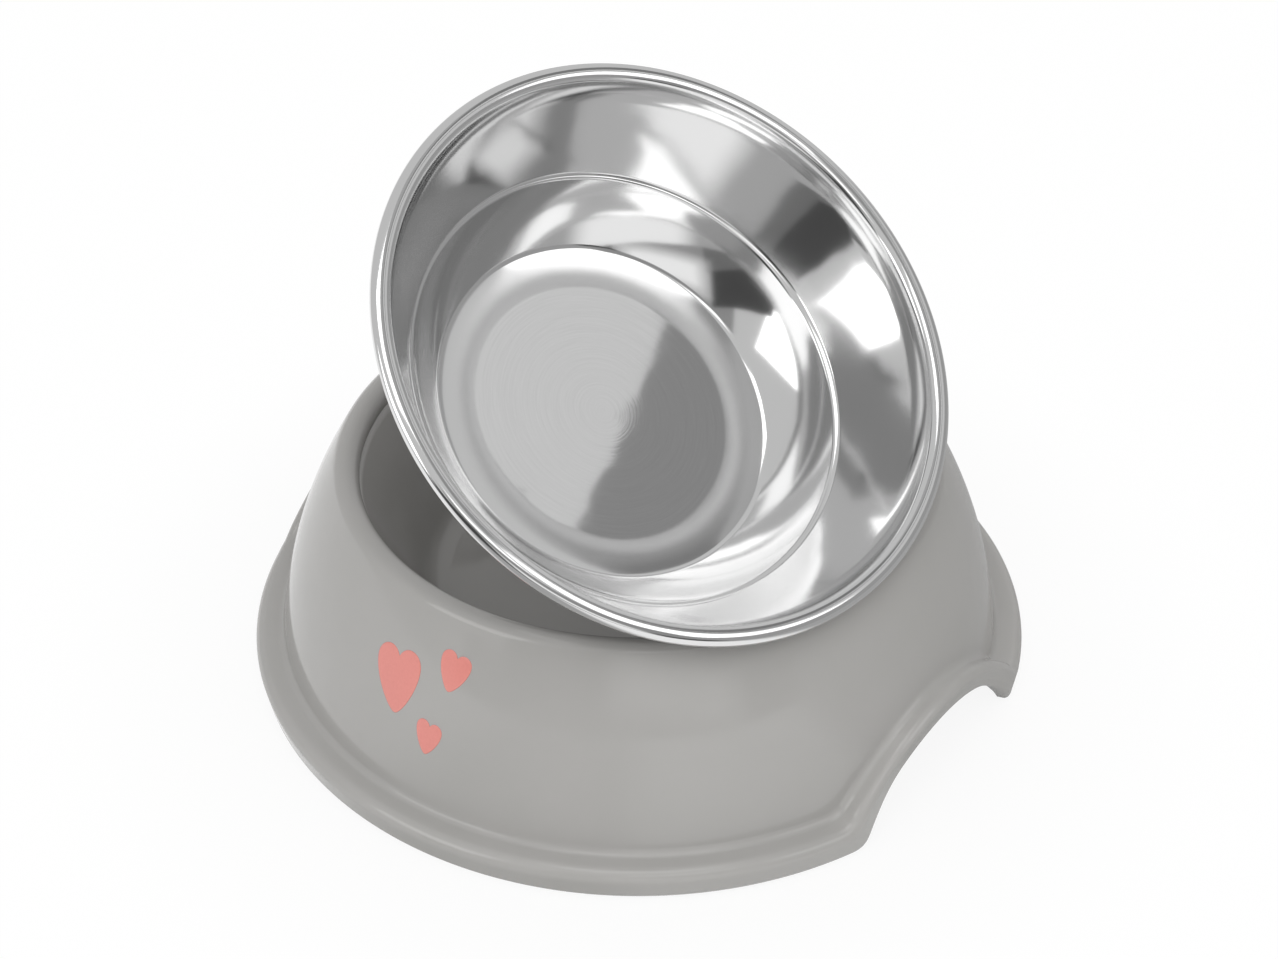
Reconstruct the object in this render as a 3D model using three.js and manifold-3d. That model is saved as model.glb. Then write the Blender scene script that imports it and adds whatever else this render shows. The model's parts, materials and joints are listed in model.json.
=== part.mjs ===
// Pet food bowl: a moulded holder with two finger arches, a steel bowl tipped on its rim, four rubber feet.
// Sizes are in millimetres. +Z is up, the floor is z = 0 and the holder stands round the Z axis.
// The finger arches open towards +X and -X.
import * as THREE from "three";
import Module from "manifold-3d";

const wasm = await Module();
wasm.setup();

// Holder: rim and wall
const HOLDER_HEIGHT = 52.6; // floor to the top of the rim
const RIM_TUCK = 0.55; // the middle of the rim's edge lies this far inside the rolled rim of the bowl
const RIM_ROUND = 3.2; // radius of the rim's round edge
const WALL_THICKNESS = 4.0;
const WALL_BELLY = 110; // radius of the wall's outward curve, seen in section
const WALL_FOOT_RADIUS = 82.8; // outer radius of the wall just above the foot

// Holder: foot band
const FOOT_LIFT = 0.5; // the band hangs this far above the floor, on the rubber feet
const BAND_HEIGHT = 7.4;
const BAND_REACH = 6.4; // how far the band stands out from the wall
const BAND_EDGE = 2.3; // radius of its upper edge
const BAND_LEAN = 1.0; // its face comes in by this much towards the floor
const BAND_TOE = 1.4; // radius of its lower edge
const FOOT_FILLET = 1.5;

// Holder: finger arches
const ARCH_HALF_WIDTH = 29.3; // measured round the foot
const ARCH_HEIGHT = 18.4; // above the bottom of the band
const ARCH_BAND_HEIGHT = 5.7; // the band gets smaller as it climbs
const ARCH_BAND_REACH = 4.5;
const ARCH_BAND_EDGE = 1.6;
const ARCH_BLEND = 14; // climb over which the band changes size
const TOE_ROUND = 2.6; // softness of the corner between foot and arch

// Holder: the well that the bowl hangs in
const WELL_THICKNESS = 3.0;
const WELL_GAP = 2.1; // below the bowl's floor when the bowl lies level
const WELL_SIDE = 4.5; // beside the bowl's dish, on the flat of the well
const WELL_CORNER = 6.0; // width of the rounded corner round the flat
const WELL_TUCK = 0.3; // the well's top lies this far behind the rim's inner edge

// Rubber feet and the bosses that hold them
const FOOT_COUNT = 4;
const FIRST_FOOT_ANGLE = 60; // degrees from +X, clear of the arches
const RUBBER_INSET = 2.1; // the feet stand this far inside the wall's outer foot
const RUBBER_HEAD_RADIUS = 4.0;
const RUBBER_HEAD_HEIGHT = 1.2;
const RUBBER_STEM_RADIUS = 2.0;
const RUBBER_STEM_HEIGHT = 3.2;
const BOSS_RADIUS = 4.5;
const BOSS_ROOF = 1.0; // material left above the stem

// Steel bowl, measured on the inside from the middle of the rolled rim
const BOWL_RADIUS = 66.75; // to the outside of the rolled rim
const BOWL_DEPTH = 36;
const SHEET = 0.8;
const ROLL_ROUND = 1.7; // outer radius of the rolled rim
const ROLL_LEAN = 12.4; // degrees, how far the sheet leans where it enters the roll
const ROLL_END = -120; // degrees, where the roll stops
const WALL_LEAN = 31; // degrees, upper wall from upright
const UPPER_WALL_TOP = 5; // depth at which the upper wall bends towards the roll
const STEP_DEPTH = 20.2; // depth of the step in the wall
const STEP_WIDTH = 1.1;
const LOWER_LEAN = 27; // degrees, lower wall from upright, below the step
const FLOOR_RADIUS = 30.7; // flat disc in the middle
const DISH_RADIUS = 39.5; // crease between the dish and the lower wall
const DISH_RISE = 1.5;

// How the bowl is tipped: it turns on a line that touches a circle just outside the rim
const GAP = 0.3; // between pieces that touch in the real thing
const SEAT_GAP = 0.6; // under the rolled rim when the bowl lies level
const TIP_ANGLE = 37.91; // degrees, from lying level to the pose in the photo
const TIP_AZIMUTH = -13.96; // degrees from +X
const TIP_OUTSET = 3.4; // beyond the middle of the rim's edge
const TIP_DROP = 6.5; // below the top of the rim
const TIP_LEAN = 10.59; // degrees, the line climbs along the rim

const radians = THREE.MathUtils.degToRad;
const lerp = THREE.MathUtils.lerp;
const smoothstep = THREE.MathUtils.smoothstep;

const holderPlastic = new THREE.MeshStandardMaterial({ color: 0xa8a29b, roughness: 0.3, metalness: 0 });
const polishedSteel = new THREE.MeshStandardMaterial({ color: 0xd6d6d4, roughness: 0.12, metalness: 1 });
const footRubber = new THREE.MeshStandardMaterial({ color: 0x3a3937, roughness: 0.8, metalness: 0 });

// Finds where a rising function of one number reaches zero.
function solve(rising, low, high) {
  for (let i = 0; i < 50; i += 1) {
    const middle = (low + high) / 2;
    if (rising(middle) < 0) low = middle;
    else high = middle;
  }
  return (low + high) / 2;
}

// Closed body from a geometry, with its doubled vertices merged.
function solidOf(geometry) {
  const corners = [];
  const seen = new Map();
  const position = geometry.getAttribute("position");
  const mapped = [];
  for (let i = 0; i < position.count; i += 1) {
    const xyz = [position.getX(i), position.getY(i), position.getZ(i)];
    const key = xyz.map((v) => Math.round(v * 1e5)).join(",");
    if (!seen.has(key)) {
      seen.set(key, corners.length / 3);
      corners.push(...xyz);
    }
    mapped.push(seen.get(key));
  }
  const index = geometry.getIndex().array;
  const triangles = [];
  for (let i = 0; i < index.length; i += 3) {
    const [a, b, c] = [mapped[index[i]], mapped[index[i + 1]], mapped[index[i + 2]]];
    if (a !== b && b !== c && c !== a) triangles.push(a, b, c);
  }
  const mesh = new wasm.Mesh({
    numProp: 3,
    vertProperties: new Float32Array(corners),
    triVerts: new Uint32Array(triangles),
  });
  return new wasm.Manifold(mesh);
}

function geometryOf(solid) {
  const mesh = solid.getMesh();
  const geometry = new THREE.BufferGeometry();
  const corners = [];
  for (let i = 0; i < mesh.vertProperties.length; i += mesh.numProp) {
    corners.push(mesh.vertProperties[i], mesh.vertProperties[i + 1], mesh.vertProperties[i + 2]);
  }
  geometry.setAttribute("position", new THREE.Float32BufferAttribute(corners, 3));
  geometry.setIndex(Array.from(mesh.triVerts));
  geometry.computeVertexNormals();
  return geometry;
}

// Upright round peg from its bottom to its top.
function peg(radius, bottom, top) {
  return wasm.Manifold.cylinder(top - bottom, radius, radius, 24).translate([0, 0, bottom]);
}

function namedMesh(name, geometry, material) {
  const mesh = new THREE.Mesh(geometry, material);
  mesh.name = name;
  return mesh;
}

// The rim is sized to carry the bowl, and the feet keep their place inside the wall.
const rimRadius = BOWL_RADIUS - RIM_TUCK;
const rubberCircle = WALL_FOOT_RADIUS - RUBBER_INSET;

// The wall is one arc that runs smoothly into the rim's round edge.
const rimCentreHeight = HOLDER_HEIGHT - RIM_ROUND;
const wallFootHeight = FOOT_LIFT + BAND_HEIGHT + FOOT_FILLET;
const bellyReach = WALL_BELLY - RIM_ROUND;
const wallCentreAt = (angle) => [
  rimRadius - bellyReach * Math.cos(angle),
  rimCentreHeight - bellyReach * Math.sin(angle),
];
const rimBlend = solve(
  (angle) => {
    const [r, z] = wallCentreAt(angle);
    return WALL_BELLY - Math.hypot(WALL_FOOT_RADIUS - r, wallFootHeight - z);
  },
  0,
  radians(80),
);
const [wallCentreRadius, wallCentreHeight] = wallCentreAt(rimBlend);
const wallTopHeight = rimCentreHeight + RIM_ROUND * Math.sin(rimBlend);
const wallRadius = (z) => wallCentreRadius + Math.sqrt(WALL_BELLY ** 2 - (z - wallCentreHeight) ** 2);

// The lower edge on the wall rolled out flat: the foot line and the arch circle, joined by a soft corner.
const footCircle = WALL_FOOT_RADIUS + 0.53 * BAND_REACH;
const archRadius = (ARCH_HALF_WIDTH ** 2 + ARCH_HEIGHT ** 2) / (2 * ARCH_HEIGHT);
const archCentreHeight = FOOT_LIFT + ARCH_HEIGHT - archRadius;

function edgeDistance(s, z) {
  const toFoot = z - FOOT_LIFT;
  const toArch = Math.hypot(s, z - archCentreHeight) - archRadius;
  const overlap = Math.max(TOE_ROUND - Math.abs(toFoot - toArch), 0);
  return Math.min(toFoot, toArch) - overlap ** 2 / (4 * TOE_ROUND);
}

// 0 beside the foot, 1 high on the arch.
function archShare(s, z) {
  const toFoot = z - FOOT_LIFT;
  const away = Math.hypot(s, z - archCentreHeight);
  const climb = archCentreHeight + ((z - archCentreHeight) * archRadius) / away - FOOT_LIFT;
  const nearArch = smoothstep(toFoot - (away - archRadius), -TOE_ROUND / 2, TOE_ROUND / 2);
  return smoothstep(climb, 0, ARCH_BLEND) * nearArch;
}

// The banded edge in section: each entry gives distance from the lower edge and reach beyond the wall.
const degreesFrom = (first, last, steps) =>
  Array.from({ length: steps + 1 }, (_, i) => radians(lerp(first, last, i / steps)));
const faceRows = degreesFrom(-90, 0, 2).map((t) => (height, reach) => [
  BAND_TOE * (1 + Math.sin(t)),
  reach - BAND_LEAN - BAND_TOE * (1 - Math.cos(t)),
]);
const edgeRows = degreesFrom(0, 90, 4).map((t) => (height, reach, edge) => [
  height - edge * (1 - Math.sin(t)),
  reach - edge * (1 - Math.cos(t)),
]);
const filletRows = degreesFrom(0, 90, 3).map((t) => (height) => [
  height + FOOT_FILLET * (1 - Math.cos(t)),
  FOOT_FILLET * (1 - Math.sin(t)),
]);
const innerRound = FOOT_FILLET + WALL_THICKNESS;
const innerRows = degreesFrom(90, 20, 3).map((t) => (height) => [
  Math.max(height + FOOT_FILLET - innerRound * Math.cos(t), 0.8),
  FOOT_FILLET - innerRound * Math.sin(t),
]);
const lipReach = (reach) =>
  Math.min(Math.max(reach - WALL_THICKNESS, FOOT_FILLET), reach - BAND_LEAN - BAND_TOE - 0.4);
const lipRows = [
  (height, reach) => [Math.max(height - WALL_THICKNESS, 0.6), lipReach(reach) - 0.4],
  (height, reach) => [0.3, lipReach(reach)],
  (height, reach) => [0, lipReach(reach) + 0.3],
];

function edgePoint(row, s) {
  const sizes = (z) => {
    const share = archShare(s, z);
    return row(
      lerp(BAND_HEIGHT, ARCH_BAND_HEIGHT, share),
      lerp(BAND_REACH, ARCH_BAND_REACH, share),
      lerp(BAND_EDGE, ARCH_BAND_EDGE, share),
    );
  };
  const z = solve((height) => edgeDistance(s, height) - sizes(height)[0], FOOT_LIFT, wallTopHeight);
  return [wallRadius(z) + sizes(z)[1], z];
}

// One section of the holder, from the bottom of the band up the outside, over the rim and down the inside.
function holderSection(s) {
  const outside = [...faceRows, ...edgeRows, ...filletRows].map((row) => edgePoint(row, s));
  const inside = [...innerRows, ...lipRows].map((row) => edgePoint(row, s));
  const wallStart = outside[outside.length - 1][1];
  const wallRows = 6;
  for (let i = 1; i < wallRows; i += 1) {
    const z = lerp(wallStart, wallTopHeight, i / wallRows);
    outside.push([wallRadius(z), z]);
  }
  for (const t of degreesFrom(THREE.MathUtils.radToDeg(rimBlend), 225, 8)) {
    outside.push([rimRadius + RIM_ROUND * Math.cos(t), rimCentreHeight + RIM_ROUND * Math.sin(t)]);
  }
  const innerTop = rimCentreHeight - 2 * RIM_ROUND;
  const innerStart = inside[0][1];
  const innerWallRows = 2;
  for (let i = 0; i < innerWallRows; i += 1) {
    const z = lerp(innerTop, innerStart, i / innerWallRows);
    outside.push([wallRadius(z) - WALL_THICKNESS, z]);
  }
  return [...outside, ...inside];
}

// Sections stand close together over the arches and wider apart along the plain foot.
function quarterStations() {
  const stations = [];
  const archSteps = 11;
  const toe = Math.asin(ARCH_HALF_WIDTH / archRadius);
  for (let i = 0; i < archSteps; i += 1) stations.push(archRadius * Math.sin((toe * i) / archSteps));
  for (const beyond of [0, 0.3, 0.75]) stations.push(ARCH_HALF_WIDTH + beyond * TOE_ROUND);
  const quarter = (footCircle * Math.PI) / 2;
  const first = ARCH_HALF_WIDTH + 1.6 * TOE_ROUND;
  const footSteps = 10;
  for (let i = 0; i < footSteps; i += 1) stations.push(lerp(first, quarter, i / footSteps));
  return stations;
}

function buildHolder() {
  const quarter = quarterStations();
  const full = (footCircle * Math.PI) / 2;
  const back = [full, ...quarter.slice(1).reverse()];
  const half = [
    ...quarter.map((s) => [s, s / footCircle]),
    ...back.map((s) => [s, Math.PI - s / footCircle]),
  ];
  const columns = [...half, ...half.map(([s, angle]) => [s, angle + Math.PI])];
  const corners = [];
  let rows = 0;
  for (const [s, angle] of columns) {
    const section = holderSection(s);
    rows = section.length;
    for (const [r, z] of section) corners.push(r * Math.cos(angle), r * Math.sin(angle), z);
  }
  const index = [];
  for (let i = 0; i < columns.length; i += 1) {
    const next = (i + 1) % columns.length;
    for (let j = 0; j < rows; j += 1) {
      const up = (j + 1) % rows;
      const [a, b, c, d] = [i * rows + j, next * rows + j, next * rows + up, i * rows + up];
      index.push(a, b, c, a, c, d);
    }
  }
  const geometry = new THREE.BufferGeometry();
  geometry.setAttribute("position", new THREE.Float32BufferAttribute(corners, 3));
  geometry.setIndex(index);
  let solid = solidOf(geometry).add(buildWell());
  const bossBottom = RUBBER_HEAD_HEIGHT + GAP;
  const socketTop = RUBBER_HEAD_HEIGHT + RUBBER_STEM_HEIGHT + GAP;
  for (const [x, y] of rubberPlaces()) {
    const boss = peg(BOSS_RADIUS, bossBottom, socketTop + BOSS_ROOF).translate([x, y, 0]);
    const socket = peg(RUBBER_STEM_RADIUS + GAP, bossBottom - 1, socketTop).translate([x, y, 0]);
    solid = solid.add(boss).subtract(socket);
  }
  return geometryOf(solid);
}

// A round pan under the rim, with room beside and below the bowl.
function buildWell() {
  const floor = HOLDER_HEIGHT + SEAT_GAP + ROLL_ROUND - BOWL_DEPTH - SHEET - WELL_GAP;
  const flat = new THREE.Vector2(DISH_RADIUS + WELL_SIDE, floor);
  const turn = new THREE.Vector2(flat.x + 0.75 * WELL_CORNER, floor + 0.05 * WELL_CORNER);
  const side = new THREE.Vector2(flat.x + WELL_CORNER, floor + 0.67 * WELL_CORNER);
  const top = new THREE.Vector2(rimRadius - RIM_ROUND + WELL_TUCK, rimCentreHeight - 0.4);
  const middle = side.clone().lerp(top, 0.48);
  middle.x -= 0.7;
  const inside = [new THREE.Vector2(0, floor), ...bezier(flat, turn, side, 3)];
  inside.push(...bezier(side, middle, top, 3).slice(1));
  const outline = [...otherFace(inside, WELL_THICKNESS), ...inside.reverse()];
  return solidOf(latheGeometry(outline.map((point) => [point.x, point.y]), 36));
}

// Two feet on each side, mirrored about the arches.
function rubberPlaces() {
  const places = [];
  for (let i = 0; i < FOOT_COUNT; i += 1) {
    const half = Math.floor(i / 2) * 180;
    const angle = radians(half + (i % 2 === 0 ? FIRST_FOOT_ANGLE : 180 - FIRST_FOOT_ANGLE));
    places.push([rubberCircle * Math.cos(angle), rubberCircle * Math.sin(angle)]);
  }
  return places;
}

function rubberFootGeometry() {
  const stemTop = RUBBER_HEAD_HEIGHT + RUBBER_STEM_HEIGHT;
  const outline = [
    [0, 0],
    [RUBBER_HEAD_RADIUS - 0.4, 0],
    [RUBBER_HEAD_RADIUS, 0.4],
    [RUBBER_HEAD_RADIUS, RUBBER_HEAD_HEIGHT],
    [RUBBER_STEM_RADIUS, RUBBER_HEAD_HEIGHT],
    [RUBBER_STEM_RADIUS, stemTop - 0.5],
    [RUBBER_STEM_RADIUS - 0.5, stemTop],
    [0, stemTop],
  ];
  return latheGeometry(outline, 20);
}

// Lathe turned to stand on the Z axis. The outline gives radius and height.
function latheGeometry(outline, segments) {
  const points = outline.map(([r, h]) => new THREE.Vector2(r, h));
  const geometry = new THREE.LatheGeometry(points, segments);
  geometry.rotateX(Math.PI / 2);
  return geometryOf(solidOf(geometry));
}

function bezier(a, b, c, steps) {
  const curve = new THREE.QuadraticBezierCurve(a, b, c);
  return curve.getPoints(steps);
}

// The inside of the bowl in section, from the middle of its floor out to the end of the rolled rim.
function bowlInside() {
  const rollRadius = BOWL_RADIUS - ROLL_ROUND;
  const entry = radians(180 - ROLL_LEAN);
  const enter = new THREE.Vector2(Math.cos(entry), Math.sin(entry)).multiplyScalar(ROLL_ROUND);
  enter.x += rollRadius;
  const lean = Math.tan(radians(WALL_LEAN));
  const entryLean = Math.tan(radians(ROLL_LEAN));
  const bendHeight = enter.y - (enter.y + UPPER_WALL_TOP) / 2;
  const bend = new THREE.Vector2(enter.x - (enter.y - bendHeight) * entryLean, bendHeight);
  const wallTop = new THREE.Vector2(bend.x - (bendHeight + UPPER_WALL_TOP) * lean, -UPPER_WALL_TOP);
  const wallEnd = new THREE.Vector2(wallTop.x - (STEP_DEPTH - UPPER_WALL_TOP) * lean, -STEP_DEPTH);
  const stepEnd = new THREE.Vector2(wallEnd.x - STEP_WIDTH, -STEP_DEPTH - 0.8);
  const stepCorner = new THREE.Vector2(wallEnd.x - 0.3, -STEP_DEPTH - 0.6);
  const dishHeight = -BOWL_DEPTH + DISH_RISE;
  const dish = new THREE.Vector2(DISH_RADIUS, dishHeight);
  const lowerLean = Math.tan(radians(LOWER_LEAN));
  const kneeHeight = lerp(dishHeight, stepEnd.y, 0.42);
  const knee = new THREE.Vector2(stepEnd.x - (stepEnd.y - kneeHeight) * lowerLean, kneeHeight);
  const floor = new THREE.Vector2(FLOOR_RADIUS, -BOWL_DEPTH);
  const dishCorner = new THREE.Vector2(lerp(FLOOR_RADIUS, DISH_RADIUS, 0.55), -BOWL_DEPTH + 0.2);
  const points = [new THREE.Vector2(0, -BOWL_DEPTH)];
  points.push(...bezier(floor, dishCorner, dish, 2));
  points.push(...bezier(dish, knee, stepEnd, 5).slice(1));
  points.push(...bezier(stepEnd, stepCorner, wallEnd, 2).slice(1));
  points.push(...bezier(wallTop, bend, enter, 3));
  const rollSteps = 8;
  for (let i = 1; i <= rollSteps; i += 1) {
    const t = lerp(entry, radians(ROLL_END), i / rollSteps);
    points.push(new THREE.Vector2(rollRadius + ROLL_ROUND * Math.cos(t), ROLL_ROUND * Math.sin(t)));
  }
  return points;
}

// The other face of a sheet, one thickness away.
function otherFace(points, thickness) {
  return points.map((point, i) => {
    const before = points[Math.max(i - 1, 0)];
    const after = points[Math.min(i + 1, points.length - 1)];
    const into = point.clone().sub(before).normalize();
    const out = after.clone().sub(point).normalize();
    const along = into.clone().add(out).normalize();
    const stretch = Math.max(i === 0 ? along.dot(out) : along.dot(into), 0.6);
    const away = new THREE.Vector2(along.y, -along.x).multiplyScalar(thickness / stretch);
    return i === 0 ? new THREE.Vector2(0, point.y - thickness) : point.clone().add(away);
  });
}

function buildBowl() {
  const inside = bowlInside();
  const outline = [...otherFace(inside, SHEET), ...inside.reverse()];
  return latheGeometry(outline.map((point) => [point.x, point.y]), 54);
}

// Lifts the bowl to its level seat and tips it up on the rim.
function tippedSeat() {
  const seat = HOLDER_HEIGHT + SEAT_GAP + ROLL_ROUND;
  const azimuth = radians(TIP_AZIMUTH);
  const lean = radians(TIP_LEAN);
  const reach = rimRadius + TIP_OUTSET;
  const hinge = new THREE.Vector3(reach * Math.cos(azimuth), reach * Math.sin(azimuth), HOLDER_HEIGHT - TIP_DROP);
  const along = new THREE.Vector3(
    -Math.sin(azimuth) * Math.cos(lean),
    Math.cos(azimuth) * Math.cos(lean),
    Math.sin(lean),
  );
  const placed = new THREE.Matrix4().makeTranslation(hinge.x, hinge.y, hinge.z);
  placed.multiply(new THREE.Matrix4().makeRotationAxis(along, radians(TIP_ANGLE)));
  placed.multiply(new THREE.Matrix4().makeTranslation(-hinge.x, -hinge.y, seat - hinge.z));
  return placed;
}

const bowlSet = new THREE.Group();
bowlSet.name = "pet_food_bowl";
bowlSet.add(namedMesh("holder", buildHolder(), holderPlastic));

const bowl = namedMesh("steel_bowl", buildBowl(), polishedSteel);
bowl.applyMatrix4(tippedSeat());
bowlSet.add(bowl);

rubberPlaces().forEach(([x, y], i) => {
  const foot = namedMesh(`rubber_foot_${i + 1}`, rubberFootGeometry(), footRubber);
  foot.position.set(x, y, 0);
  bowlSet.add(foot);
});

export default bowlSet;
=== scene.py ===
# %% [markdown]
# A pet food bowl: a grey moulded holder with two finger arches, and a polished steel bowl that lies loose on
# its rim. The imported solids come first, because they fix the frame: every piece made below is placed in the
# same metres and the same axes, and each one moves with the body that carries it.

# %% Load the solids
import json
import math

import bpy
import numpy as np
from mathutils import Matrix, Vector


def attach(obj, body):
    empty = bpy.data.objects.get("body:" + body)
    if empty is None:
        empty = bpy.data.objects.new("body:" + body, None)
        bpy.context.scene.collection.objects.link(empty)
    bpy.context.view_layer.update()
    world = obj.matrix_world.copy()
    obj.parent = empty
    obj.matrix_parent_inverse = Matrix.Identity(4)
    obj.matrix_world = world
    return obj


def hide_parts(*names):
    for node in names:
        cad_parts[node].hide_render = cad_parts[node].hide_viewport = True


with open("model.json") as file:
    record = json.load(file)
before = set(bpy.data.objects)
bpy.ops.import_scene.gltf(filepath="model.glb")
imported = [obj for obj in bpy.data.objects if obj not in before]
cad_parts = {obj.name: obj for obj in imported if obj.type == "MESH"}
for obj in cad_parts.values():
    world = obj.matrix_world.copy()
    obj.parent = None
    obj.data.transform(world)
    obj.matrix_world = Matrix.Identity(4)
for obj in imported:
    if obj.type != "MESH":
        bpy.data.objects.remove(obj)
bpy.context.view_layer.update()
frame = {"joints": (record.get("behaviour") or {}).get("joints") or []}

# %% [markdown]
# A few small helpers serve the whole lesson. Colours are written as sRGB hex, as a colour picker shows them, and
# Blender wants them linear, so one function converts them. One adds a shader or geometry node with its settings and
# links. One turns arrays of points and faces into a mesh object at the origin. The last three are for geometry
# nodes: one opens a tree with named inputs, one ends it with real geometry and its material, and one runs it and
# keeps its result as a mesh whose faces point outwards.

# %% Helpers
MM = 0.001
MATH, VECTOR_MATH = "ShaderNodeMath", "ShaderNodeVectorMath"
SPLIT, COMBINE = "ShaderNodeSeparateXYZ", "ShaderNodeCombineXYZ"
SOFT_STEP = {"interpolation_type": "SMOOTHSTEP"}
PER_POINT = {"data_type": "FLOAT_VECTOR", "domain": "POINT"}


def to_linear(hex_colour):
    channels = [int(hex_colour[i : i + 2], 16) / 255 for i in (1, 3, 5)]
    linear = [c / 12.92 if c <= 0.04045 else ((c + 0.055) / 1.055) ** 2.4 for c in channels]
    return (*linear, 1.0)


def add_node(tree, kind, settings=None, **inputs):
    # a bare word in settings is the node's operation, a key such as _0 is a socket's number and any other key its
    # name, and a node given as a value is linked by its first output
    node = tree.nodes.new(kind)
    settings = {"operation": settings} if isinstance(settings, str) else settings
    for name, value in (settings or {}).items():
        setattr(node, name, value)
    for key, value in inputs.items():
        name = key.replace("_", " ")
        socket = node.inputs[int(key[1:])] if key[1:].isdigit() else node.inputs[name]
        value = value.outputs[0] if isinstance(value, bpy.types.Node) else value
        if isinstance(value, bpy.types.NodeSocket):
            tree.links.new(value, socket)
        else:
            socket.default_value = value
    return node


def mesh_piece(name, points, faces, material):
    mesh = bpy.data.meshes.new(name)
    mesh.from_pydata([tuple(p) for p in points], [], [tuple(f) for f in faces])
    mesh.polygons.foreach_set("use_smooth", [True] * len(mesh.polygons))
    mesh.materials.append(material)
    mesh.validate()
    piece = bpy.data.objects.new(name, mesh)
    bpy.context.scene.collection.objects.link(piece)
    return piece


def open_tree(name, inputs, result):
    tree = bpy.data.node_groups.new(name, "GeometryNodeTree")
    for label, kind in inputs.items():
        tree.interface.new_socket(label, in_out="INPUT", socket_type="NodeSocket" + kind)
    tree.interface.new_socket(result, in_out="OUTPUT", socket_type="NodeSocketGeometry")
    return tree, add_node(tree, "NodeGroupInput")


def end_tree(tree, geometry, finish, result):
    real = add_node(tree, "GeometryNodeRealizeInstances", Geometry=geometry)
    coated = add_node(tree, "GeometryNodeSetMaterial", Geometry=real, Material=finish)
    add_node(tree, "NodeGroupOutput", **{result: coated})
    print("tree", tree.name, "with", len(tree.nodes), "nodes")


def run_tree(name, tree, values):
    # runs a node tree on an empty start object and keeps its result as a plain mesh
    start = bpy.data.objects.new(name + "_start", bpy.data.meshes.new(name + "_start"))
    bpy.context.scene.collection.objects.link(start)
    modifier = start.modifiers.new("nodes", "NODES")
    modifier.node_group = tree
    for item in tree.interface.items_tree:
        if item.in_out == "INPUT" and item.name in values:
            modifier[item.identifier] = values[item.name]
    graph = bpy.context.evaluated_depsgraph_get()
    mesh = bpy.data.meshes.new_from_object(start.evaluated_get(graph))
    start.modifiers.clear()
    bpy.data.objects.remove(start)
    # the trees lay their grids with the faces inwards, so the plain mesh is turned to face outwards
    mesh.flip_normals()
    mesh.name = name
    # the tree's mesh primitives leave an empty material slot in front of the real one
    finish = [m for m in mesh.materials if m is not None][0]
    mesh.materials.clear()
    mesh.materials.append(finish)
    mesh.polygons.foreach_set("material_index", [0] * len(mesh.polygons))
    piece = bpy.data.objects.new(name, mesh)
    bpy.context.scene.collection.objects.link(piece)
    return piece


print("helpers ready")

# %% [markdown]
# The camera stands where the photograph was taken from: turned 37 degrees round the holder from the middle of
# its plain side, looking down at 37 degrees, from 63 cm away with a long lens. The frame is 1278 by 959 pixels,
# so the lens is given for a 36 mm wide sensor.

# %% Camera
VIEW_TURN = math.radians(37)
VIEW_RISE = math.radians(37.23)
VIEW_DISTANCE = 0.630
VIEW_TARGET = Vector((0, 0, 0.0442))
SENSOR_WIDTH, LENS = 36, 78.12

camera_data = bpy.data.cameras.new("camera")
camera_data.sensor_width = SENSOR_WIDTH
camera_data.lens = LENS
camera = bpy.data.objects.new("camera", camera_data)
bpy.context.scene.collection.objects.link(camera)
outward = Vector((math.sin(VIEW_TURN), -math.cos(VIEW_TURN), 0)) * math.cos(VIEW_RISE)
outward += Vector((0, 0, math.sin(VIEW_RISE)))
camera.location = VIEW_TARGET + outward * VIEW_DISTANCE
camera.rotation_euler = (-outward).to_track_quat("-Z", "Y").to_euler()
bpy.context.scene.camera = camera
print("camera at", [round(v, 4) for v in camera.location])

# %% [markdown]
# A white table in a pale studio. Seen directly or in a mirror, the table is a plain white of strength 1, with a
# small share left as a lit surface so that it keeps the shadow. Inside the holder the table lies in the dark, so
# there the white fades out and only the light that really falls in is left. In a mirror, most of the table gets a
# painted shade that leaves it less than half as bright; two sides keep the full white.

# %% Table
scene = bpy.context.scene
scene.view_settings.view_transform = "Standard"
# painted shade: in a mirror the table is painted darker by this much, but for two sides: turn in the picture, cosines
# of its soft edge
MIRROR_PAINTED_SHADE = 0.58
BRIGHT_TABLE = [(-67, 0.86, 0.96), (165, 0.3, 0.7)]
# the most that the painted shade takes from the table's white
DARKEST_PAINTED_SHADE = 0.85
# metres from the axis where a share of plain white begins and where it is full, and that share
WHITE_SHARES = [(0.055, 0.075, 0.9), (0.080, 0.15, 0.09)]

table_paint = bpy.data.materials.new("matt_white_table")
table_paint.use_nodes = True
tree = table_paint.node_tree
tree.nodes.clear()
path = add_node(tree, "ShaderNodeLightPath")
seen = add_node(tree, MATH, "MAXIMUM", _0=path.outputs["Is Camera Ray"], _1=path.outputs["Is Glossy Ray"])
seen = add_node(tree, MATH, "MAXIMUM", _0=seen, _1=path.outputs["Is Transmission Ray"])
spot = add_node(tree, "ShaderNodeTexCoord")
from_axis = add_node(tree, VECTOR_MATH, "LENGTH", _0=spot.outputs["Object"])
away = from_axis.outputs["Value"]
near_white, far_white = [
    add_node(tree, "ShaderNodeMapRange", SOFT_STEP, _0=away, _1=start, _2=full, _3=0.0, _4=part)
    for start, full, part in WHITE_SHARES
]
white = add_node(tree, MATH, "ADD", _0=near_white, _1=far_white)
share = add_node(tree, MATH, "MULTIPLY", _0=seen, _1=white)
toward = add_node(tree, VECTOR_MATH, "NORMALIZE", _0=spot.outputs["Object"])
bright_sides = []
for turn, start, end in BRIGHT_TABLE:
    angle = math.radians(turn) + VIEW_TURN
    facing = add_node(tree, VECTOR_MATH, "DOT_PRODUCT", _0=toward, _1=(math.cos(angle), math.sin(angle), 0))
    bright_sides.append(add_node(
        tree, "ShaderNodeMapRange", SOFT_STEP,
        _0=facing.outputs["Value"], _1=start, _2=end, _3=MIRROR_PAINTED_SHADE, _4=0.0,
    ))
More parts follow.
